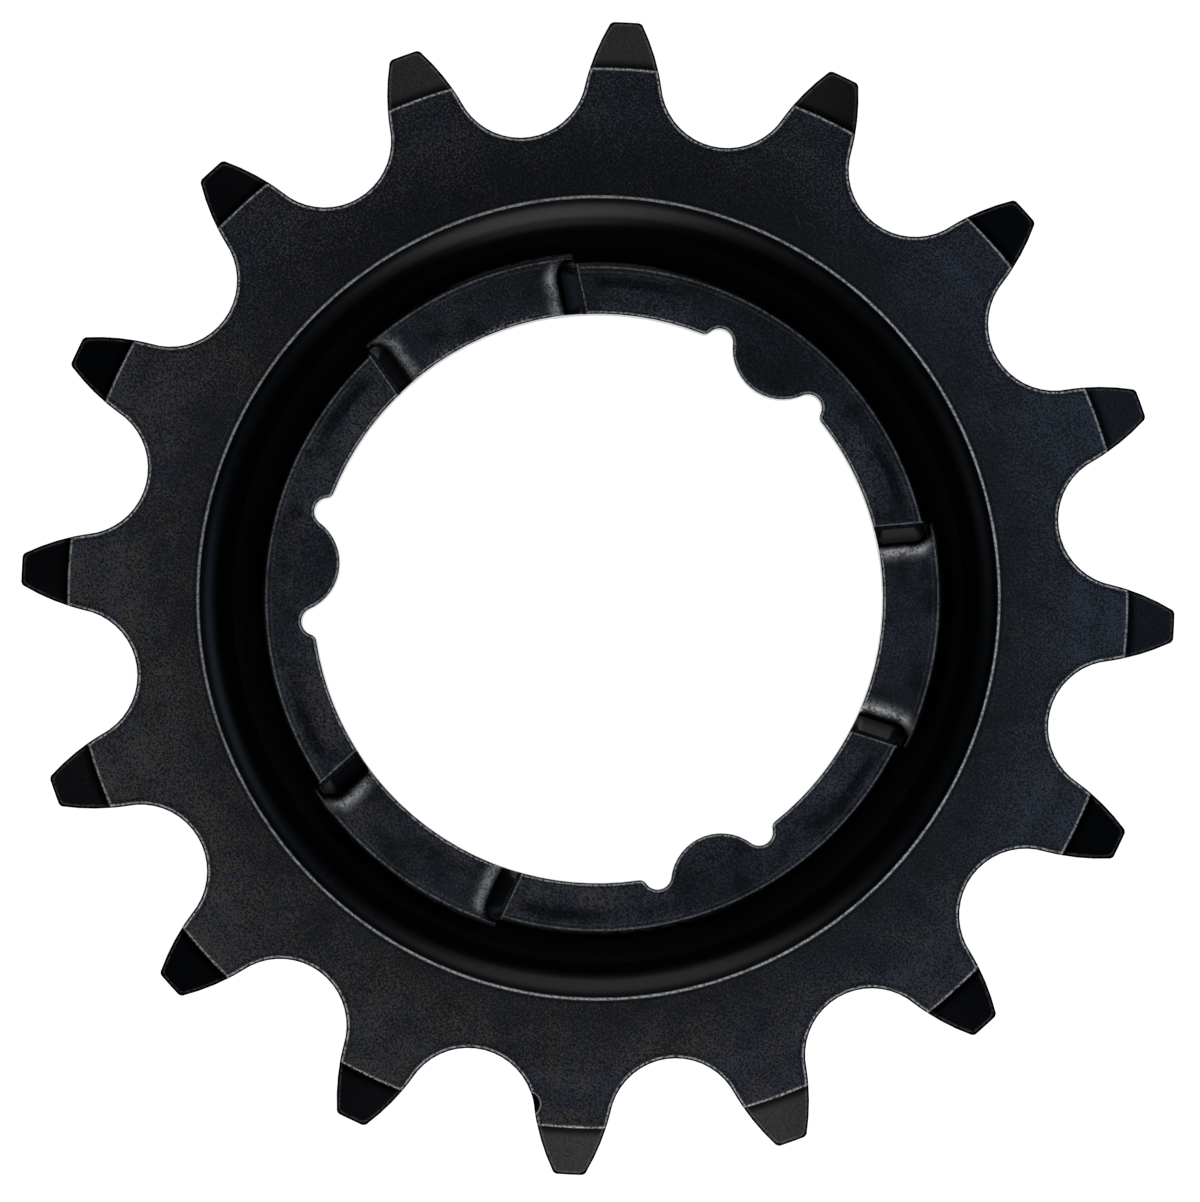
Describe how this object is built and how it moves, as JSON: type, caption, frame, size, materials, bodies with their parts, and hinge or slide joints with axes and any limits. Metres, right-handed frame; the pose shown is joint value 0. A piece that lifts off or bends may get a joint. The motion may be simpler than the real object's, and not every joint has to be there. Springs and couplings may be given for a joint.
{
  "type": "bicycle sprocket",
  "caption": "Dished rear sprocket stamped from one blackened steel plate, with roller-chain teeth and a flanged bore driven by lugs.",
  "frame": {"origin": "on the axis, in the plane of the flange's back face, which the part rests on", "axes": "+Z along the axis from the flange to the toothed ring, +Y through the middle of the first drive lug"},
  "size_m": [0.0696, 0.0696, 0.005],
  "materials": {
    "blackened_steel": "satin black oxide with worn bright edges"
  },
  "bodies": {
    "root": {"sprocket": "blackened_steel"}
  },
  "joints": []
}
